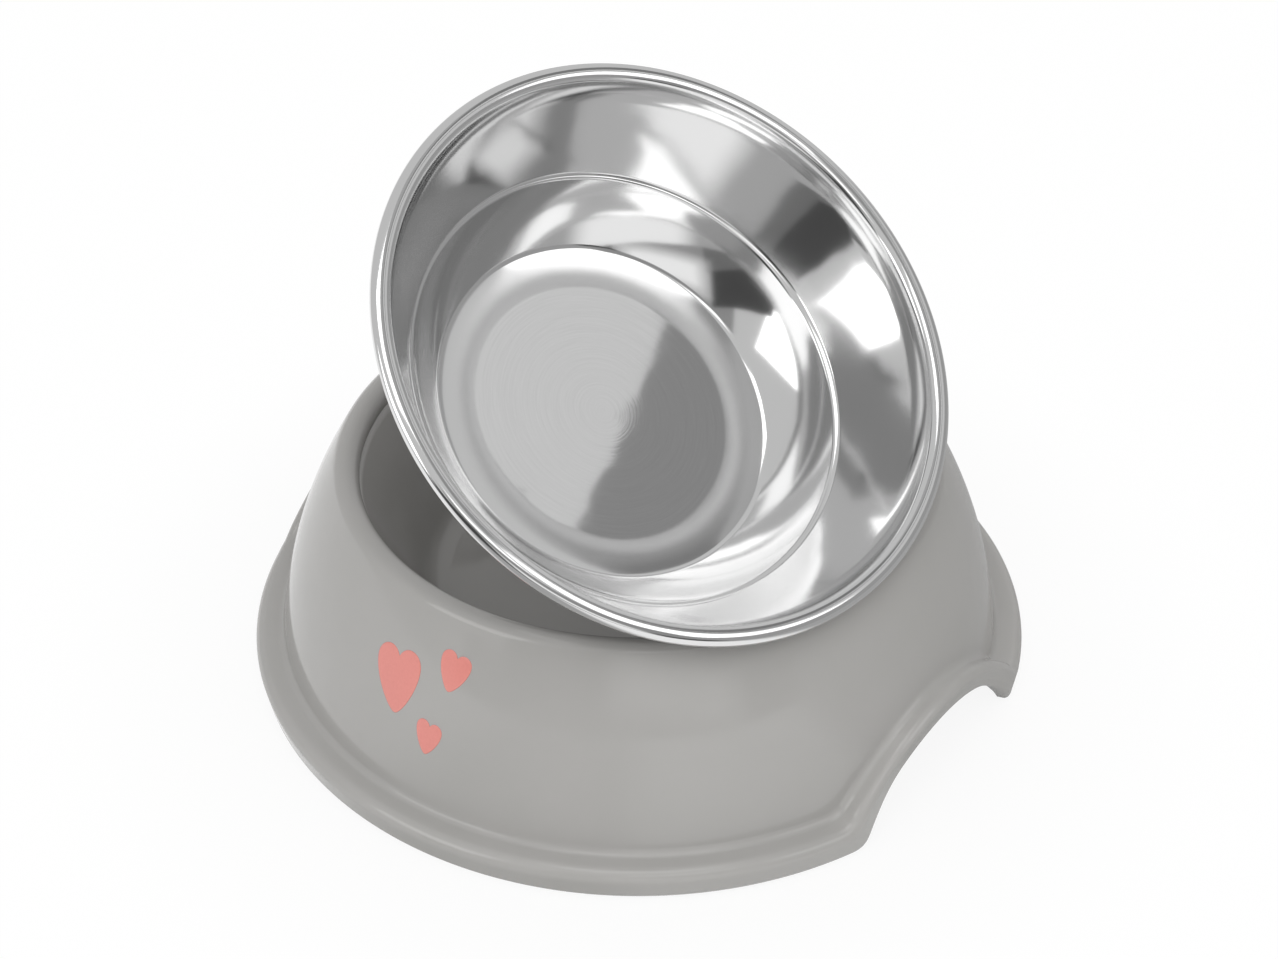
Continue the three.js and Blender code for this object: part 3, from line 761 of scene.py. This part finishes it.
# %% Heart outline and places
HEART_HALF = [
    [(0, 0.86), (0.126, 1.089), (0.5, 1.010), (0.5, 0.761)],
    [(0.5, 0.761), (0.5, 0.464), (0.136, 0), (0, 0)],
]
HEART_MIDDLE = (0.0, 0.55)
HEART_ROWS = 24
INK_FILM = [(0, -0.1), (0.5, -0.1), (0.985, -0.1), (1, -0.05), (1, 0.06), (0.985, 0.1)]
INK_FILM += [(f, 0.12) for f in (0.97, 0.9, 0.75, 0.6, 0.45, 0.3, 0.15, 0)]
HEARTS = {
    "angle": (-94.30, -85.04, -87.52),
    "height_over_table": (26.92, 36.94, 21.36),
    "wide": (13.05, 7.84, 6.71),
    "tall": (15.07, 9.06, 7.98),
    "tilt": (8.63, -5.37, -3.89),
}


def cubic_points(a, b, c, d, steps):
    t = np.linspace(0, 1, steps + 1)[:-1, None]
    return (
        (1 - t) ** 3 * np.array(a) + 3 * t * (1 - t) ** 2 * np.array(b)
        + 3 * t**2 * (1 - t) * np.array(c) + t**3 * np.array(d)
    )


right_half = np.vstack([cubic_points(*part, HEART_ROWS) for part in HEART_HALF])
left_half = np.vstack([[(0, 0)], right_half[:0:-1] * np.array([-1, 1])])
heart_outline = np.vstack([right_half, left_half])[::-1]
tip_height = np.array(HEARTS["height_over_table"])
heart_places = bpy.data.meshes.new("heart_places")
heart_places.from_pydata([(0, 0, 0)] * 3, [], [])
place_values = {
    "tip_angle": np.radians(HEARTS["angle"]),
    "tip_rise": WALL_BELLY * np.arcsin((tip_height - centre_z) / WALL_BELLY),
    "wall_round": wall_radius(tip_height),
    "wide": np.array(HEARTS["wide"]),
    "tall": np.array(HEARTS["tall"]),
    "tilt": np.radians(HEARTS["tilt"]),
}
for name, values in place_values.items():
    heart_places.attributes.new(name, "FLOAT", "POINT").data.foreach_set("value", values)
print("heart outline:", len(heart_outline), "points")

# %% [markdown]
# The tree in three steps: the flat heart from outline and film, one copy for each place, and the bend. On the
# wall, sideways becomes an angle round the axis, and upwards becomes an angle on the arc of the belly.

# %% Hearts by nodes
# as a share of the flat heart's width
HEART_MERGE = 0.0001
printing, given = open_tree("printed_hearts", {
    "Outline": "Object", "Outline points": "Int", "Film": "Object", "Film rows": "Int", "Places": "Object",
    "Belly radius": "Float", "Belly middle out": "Float", "Belly middle up": "Float", "Finish": "Material",
}, "Print")
outline, film, places = [
    add_node(printing, "GeometryNodeObjectInfo", Object=given.outputs[label]).outputs["Geometry"]
    for label in ("Outline", "Film", "Places")
]
one_more = add_node(printing, MATH, "ADD", _0=given.outputs["Outline points"], _1=1.0)
grid = add_node(
    printing, "GeometryNodeMeshGrid", Size_X=1.0, Size_Y=1.0,
    Vertices_X=given.outputs["Film rows"], Vertices_Y=one_more,
)
spot = add_node(printing, "GeometryNodeInputPosition")
axes = add_node(printing, SPLIT, Vector=spot)
along = add_node(printing, MATH, "ADD", _0=axes.outputs["X"], _1=0.5)
last = add_node(printing, MATH, "SUBTRACT", _0=given.outputs["Film rows"], _1=1.0)
row = add_node(printing, MATH, "MULTIPLY", _0=along, _1=last)
row = add_node(printing, MATH, "ROUND", _0=row)
about = add_node(printing, MATH, "ADD", _0=axes.outputs["Y"], _1=0.5)
step = add_node(printing, MATH, "MULTIPLY", _0=about, _1=given.outputs["Outline points"])
step = add_node(printing, MATH, "ROUND", _0=step)
step = add_node(printing, MATH, "MODULO", _0=step, _1=given.outputs["Outline points"])
line_spot = add_node(printing, "GeometryNodeInputPosition")
edge_axes, layer_axes = [
    add_node(printing, SPLIT, Vector=add_node(
        printing, "GeometryNodeSampleIndex", PER_POINT, Geometry=line, Value=line_spot, Index=index
    ))
    for line, index in ((outline, step), (film, row))
]
flat_edge = add_node(printing, COMBINE, X=edge_axes.outputs["X"], Y=edge_axes.outputs["Z"], Z=0.0)
from_middle = add_node(printing, VECTOR_MATH, "SUBTRACT", _0=flat_edge, _1=(*HEART_MIDDLE, 0))
part_way = add_node(printing, VECTOR_MATH, "SCALE", _0=from_middle, Scale=layer_axes.outputs["X"])
lift = add_node(printing, COMBINE, X=HEART_MIDDLE[0], Y=HEART_MIDDLE[1], Z=layer_axes.outputs["Z"])
heart_spot = add_node(printing, VECTOR_MATH, "ADD", _0=part_way, _1=lift)
flat_heart = add_node(printing, "GeometryNodeSetPosition", Geometry=grid.outputs["Mesh"], Position=heart_spot)
flat_heart = add_node(printing, "GeometryNodeMergeByDistance", Geometry=flat_heart, Distance=HEART_MERGE)
value = {
    name: add_node(printing, "GeometryNodeInputNamedAttribute", {"data_type": "FLOAT"}, Name=name)
    for name in place_values
}
turn = add_node(printing, COMBINE, X=0.0, Y=0.0, Z=value["tilt"])
size = add_node(printing, COMBINE, X=value["wide"], Y=value["tall"], Z=1.0)
copies = add_node(
    printing, "GeometryNodeInstanceOnPoints", Points=places, Instance=flat_heart,
    Rotation=turn, Scale=size,
)
real = add_node(printing, "GeometryNodeRealizeInstances", Geometry=copies)
wall_spot = add_node(printing, "GeometryNodeInputPosition")
wall_axes = add_node(printing, SPLIT, Vector=wall_spot)
sideways = add_node(printing, MATH, "DIVIDE", _0=wall_axes.outputs["X"], _1=value["wall_round"])
angle = add_node(printing, MATH, "ADD", _0=sideways, _1=value["tip_angle"])
up = add_node(printing, MATH, "ADD", _0=wall_axes.outputs["Y"], _1=value["tip_rise"])
climb = add_node(printing, MATH, "DIVIDE", _0=up, _1=given.outputs["Belly radius"])
reach = add_node(printing, MATH, "ADD", _0=wall_axes.outputs["Z"], _1=given.outputs["Belly radius"])
climb_cosine, climb_sine = [add_node(printing, MATH, way, _0=climb) for way in ("COSINE", "SINE")]
out = add_node(printing, MATH, "MULTIPLY_ADD", _0=reach, _1=climb_cosine, _2=given.outputs["Belly middle out"])
high = add_node(printing, MATH, "MULTIPLY_ADD", _0=reach, _1=climb_sine, _2=given.outputs["Belly middle up"])
cosine, sine = [add_node(printing, MATH, way, _0=angle) for way in ("COSINE", "SINE")]
x, y = [add_node(printing, MATH, "MULTIPLY", _0=out, _1=way) for way in (cosine, sine)]
bent = add_node(printing, COMBINE, X=x, Y=y, Z=high)
bent = add_node(printing, VECTOR_MATH, "SCALE", _0=bent, Scale=MM)
laid = add_node(printing, "GeometryNodeSetPosition", Geometry=real, Position=bent)
soft = add_node(printing, "GeometryNodeSetShadeSmooth", Geometry=laid)
end_tree(printing, soft, given.outputs["Finish"], "Print")

# %% [markdown]
# The ink is a pad print in coral: flat and even from afar, with a very fine mottle where the pad lifted off, and
# as glossy as the plastic. The mottle is drawn 0.6 mm wide so that it shows.

# %% Ink and hearts
coral_ink = mottled_finish(
    "pad_printed_coral_ink", ("#ea968c", "#e28d85"), (0.6, 3.0), (0.12, 0.22), (0.6, 3.0)
)
outline_curve = curve_object("heart_outline", heart_outline)
film_curve = curve_object("ink_film", INK_FILM)
places_object = bpy.data.objects.new("heart_places", heart_places)
scene.collection.objects.link(places_object)
hearts = run_tree("printed_heart_set", printing, {
    "Outline": outline_curve, "Outline points": len(heart_outline), "Film": film_curve, "Film rows": len(INK_FILM),
    "Places": places_object, "Belly radius": WALL_BELLY, "Belly middle out": float(centre_r),
    "Belly middle up": float(centre_z), "Finish": coral_ink,
})
for helper in (outline_curve, film_curve, places_object):
    bpy.data.objects.remove(helper)
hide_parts("holder")
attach(hearts, "holder")
print("hearts:", len(hearts.data.polygons), "faces")

# %% [markdown]
# The steel bowl is one pressed sheet, so it is a profile turned round an axis: flat floor, shallow dish, curved
# lower wall, a small step, a straight upper wall and a rolled rim. The profile is drawn with the bowl lying level,
# measured from the middle of the rolled rim.

# %% Bowl profile, in millimetres from the middle of the rolled rim
BOWL_RADIUS = 66.75
BOWL_DEPTH = 36.0
SHEET = 0.8
ROLL_ROUND, ROLL_WIDE = 1.7, 2.2
ROLL_LEAN = 12.4
ROLL_END = -120.0
WALL_LEAN = 31.0
UPPER_WALL_TOP = 5.0
STEP_DEPTH, STEP_WIDTH, STEP_DROP = 20.2, 1.1, 0.8
STEP_CORNER = np.array([-0.3, -0.6])
LOWER_LEAN = 27.0
KNEE_SHARE = 0.42
FLOOR_RADIUS = 30.7
DISH_RADIUS, DISH_RISE = 39.5, 1.5
# where the dish bends, as a share of its width, and how far above the floor; a row close to the floor's edge
# keeps the floor flat in the shading
DISH_BEND_SHARE, DISH_BEND_RISE, FLOOR_LAST_ROW = 0.55, 0.05, 0.3
BOWL_STEPS = 240
FLOOR_ROWS, DISH_ROWS, LOWER_ROWS, STEP_ROWS, UPPER_ROWS, BEND_ROWS, ROLL_ROWS = 9, 12, 26, 6, 9, 12, 30

roll_centre = BOWL_RADIUS - ROLL_WIDE
entry = math.radians(180 - ROLL_LEAN)
enter = np.array([roll_centre + ROLL_WIDE * math.cos(entry), ROLL_ROUND * math.sin(entry)])
lean = math.tan(math.radians(WALL_LEAN))
bend_z = enter[1] - (enter[1] + UPPER_WALL_TOP) / 2
bend = np.array([enter[0] - (enter[1] - bend_z) * math.tan(math.radians(ROLL_LEAN)), bend_z])
upper_top = np.array([bend[0] - (bend_z + UPPER_WALL_TOP) * lean, -UPPER_WALL_TOP])
upper_end = np.array([upper_top[0] - (STEP_DEPTH - UPPER_WALL_TOP) * lean, -STEP_DEPTH])
step_end = upper_end + np.array([-STEP_WIDTH, -STEP_DROP])
step_corner = upper_end + STEP_CORNER
dish = np.array([DISH_RADIUS, -BOWL_DEPTH + DISH_RISE])
knee_z = dish[1] + (step_end[1] - dish[1]) * KNEE_SHARE
knee = np.array([step_end[0] - (step_end[1] - knee_z) * math.tan(math.radians(LOWER_LEAN)), knee_z])
floor_edge = np.array([FLOOR_RADIUS, -BOWL_DEPTH])
dish_bend = FLOOR_RADIUS + DISH_BEND_SHARE * (DISH_RADIUS - FLOOR_RADIUS)
dish_corner = np.array([dish_bend, -BOWL_DEPTH + DISH_BEND_RISE])
roll = [
    (roll_centre + ROLL_WIDE * math.cos(t), ROLL_ROUND * math.sin(t))
    for t in np.linspace(entry, math.radians(ROLL_END), ROLL_ROWS)[1:]
]
inside = np.vstack([
    [(r, -BOWL_DEPTH) for r in [*np.linspace(0, FLOOR_RADIUS, FLOOR_ROWS)[:-1], FLOOR_RADIUS - FLOOR_LAST_ROW]],
    bend_points(floor_edge, dish_corner, dish, DISH_ROWS),
    bend_points(dish, knee, step_end, LOWER_ROWS)[1:],
    bend_points(step_end, step_corner, upper_end, STEP_ROWS)[1:],
    [upper_end + (upper_top - upper_end) * f for f in np.linspace(0, 1, UPPER_ROWS)[1:-1]],
    bend_points(upper_top, bend, enter, BEND_ROWS),
    roll,
])
profile = np.vstack([other_face(inside, SHEET), inside[::-1]])
print("bowl profile:", len(profile), "points, depth", BOWL_DEPTH, "mm")

# %% [markdown]
# The tip: the bowl turns on a line that touches a circle just outside the holder's rim. The joint of the packed
# model has that line, so it is read from the frame, and the level seat is turned up by the tip angle.

# %% Tip of the bowl
TIP_ANGLE = math.radians(37.91)
SEAT_GAP = 0.6
tip_joint = [j for j in frame["joints"] if j["name"] == "bowl_tip"][0]
hinge_point = Vector(tip_joint["pos_m"])
hinge_line = Vector(tip_joint["axis"]).normalized()
tipped = (
    Matrix.Translation(hinge_point)
    @ Matrix.Rotation(TIP_ANGLE, 4, hinge_line)
    @ Matrix.Translation(Vector((0, 0, (HOLDER_HEIGHT + SEAT_GAP + ROLL_ROUND) * MM)) - hinge_point)
)
print("bowl middle at", [round(v, 4) for v in tipped.translation])

# %% [markdown]
# Polished stainless steel. The sheet is pressed, then polished to a mirror, and the flat floor keeps fine
# circular brush marks from the polishing wheel. Real marks are some hundredths of a millimetre apart, too fine
# for the picture, so they are drawn about 0.35 mm apart, and only the floor shows them strongly. Pressed sheet is
# never quite even either: shallow waves of some hundredths of a millimetre, about 12 mm long and flatter on the floor
# than on the wall, bend the straight edges of what it mirrors. The shallow dish round the floor is polished less and
# stays satin, so the edge of the floor is a soft change of tone and not a line.

# %% Polished steel
# where a finish begins and where it is full, in mm from the axis; the dish's has an inner and an outer edge
FLOOR_FINISH, DISH_FROM_FLOOR, DISH_FROM_WALL = (33.0, 29.0), (29.5, 31.0), (39.0, 35.0)
WALL_DULLNESS, FLOOR_LESS, DISH_MORE, PATCH_MORE = 0.085, -0.06, 0.13, 0.02
PATCH_WIDE, WAVE_LONG, RING_WIDE = 14.0, 12.0, 0.35
# along a ring the noise runs this much slower than from ring to ring
ALONG_RING = 0.03
# heights on the wall in mm, and what the floor adds to them
WAVE_HEIGHT, FLOOR_WAVE = 0.05, -0.03
RING_HEIGHT, FLOOR_RING = 0.0004, 0.0006

polished_steel = bpy.data.materials.new("polished_stainless_steel")
polished_steel.use_nodes = True
tree = polished_steel.node_tree
shader = tree.nodes["Principled BSDF"]
own_place = add_node(tree, "ShaderNodeAttribute", {"attribute_name": "own_place"})
axes = add_node(tree, SPLIT, Vector=own_place.outputs["Vector"])
flat = add_node(tree, COMBINE, X=axes.outputs["X"], Y=axes.outputs["Y"], Z=0.0)
radius = add_node(tree, VECTOR_MATH, "LENGTH", _0=flat)
part_round = add_node(tree, VECTOR_MATH, "SCALE", _0=flat, Scale=ALONG_RING)
part_axes = add_node(tree, SPLIT, Vector=part_round)
ring_place = add_node(tree, COMBINE, X=radius.outputs["Value"], Y=part_axes.outputs["X"], Z=part_axes.outputs["Y"])
rings = add_node(
    tree, "ShaderNodeTexNoise", {"noise_dimensions": "3D"},
    Vector=ring_place, Scale=1 / RING_WIDE, Detail=3.0, Roughness=0.7,
)
on_floor, past_floor, before_wall = [
    add_node(tree, "ShaderNodeMapRange", SOFT_STEP, _0=radius.outputs["Value"], _1=start, _2=full, _3=0.0, _4=1.0)
    for start, full in (FLOOR_FINISH, DISH_FROM_FLOOR, DISH_FROM_WALL)
]
on_dish = add_node(tree, MATH, "MULTIPLY", _0=past_floor, _1=before_wall)
patches = add_node(tree, "ShaderNodeTexNoise", Vector=own_place.outputs["Vector"], Scale=1 / PATCH_WIDE, Detail=3.0)
dullness = WALL_DULLNESS
for where, more in ((on_floor, FLOOR_LESS), (on_dish, DISH_MORE), (patches.outputs["Fac"], PATCH_MORE)):
    dullness = add_node(tree, MATH, "MULTIPLY_ADD", _0=where, _1=more, _2=dullness)
tree.links.new(dullness.outputs[0], shader.inputs["Roughness"])
waves = add_node(
    tree, "ShaderNodeTexNoise", Vector=own_place.outputs["Vector"], Scale=1 / WAVE_LONG, Detail=1.0, Roughness=0.5
)
wave_height = add_node(tree, MATH, "MULTIPLY_ADD", _0=on_floor, _1=FLOOR_WAVE, _2=WAVE_HEIGHT)
ring_height = add_node(tree, MATH, "MULTIPLY_ADD", _0=on_floor, _1=FLOOR_RING, _2=RING_HEIGHT)
up_and_down = add_node(tree, MATH, "SUBTRACT", _0=waves.outputs["Fac"], _1=0.5)
waved = add_node(tree, MATH, "MULTIPLY", _0=up_and_down, _1=wave_height)
height = add_node(tree, MATH, "MULTIPLY_ADD", _0=rings.outputs["Fac"], _1=ring_height, _2=waved)
brush = add_node(tree, "ShaderNodeBump", Height=height, Strength=1.0, Distance=1.0 * MM)
tree.links.new(brush.outputs[0], shader.inputs["Normal"])
marks = add_node(tree, MATH, "MULTIPLY", _0=rings.outputs["Fac"], _1=on_floor)
tint = add_node(
    tree, "ShaderNodeMix", {"data_type": "RGBA"},
    _0=marks, _6=to_linear("#e6e6e6"), _7=to_linear("#d8d8d8"),
)
tree.links.new(tint.outputs[2], shader.inputs["Base Color"])
shader.inputs["Metallic"].default_value = 1.0
print("steel made")

# %% [markdown]
# The bowl is turned by the same tree as the well, and the tip is applied to the points of the finished mesh, so
# the bowl sits at the origin with its place in its mesh.

# %% Bowl mesh
bowl = turned("steel_sheet_bowl", profile, BOWL_STEPS, polished_steel)
bowl.data.transform(tipped)
bowl.data.update()
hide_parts("steel_bowl")
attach(bowl, "bowl")
print("bowl:", len(bowl.data.polygons), "faces, materials", [m.name for m in bowl.data.materials])
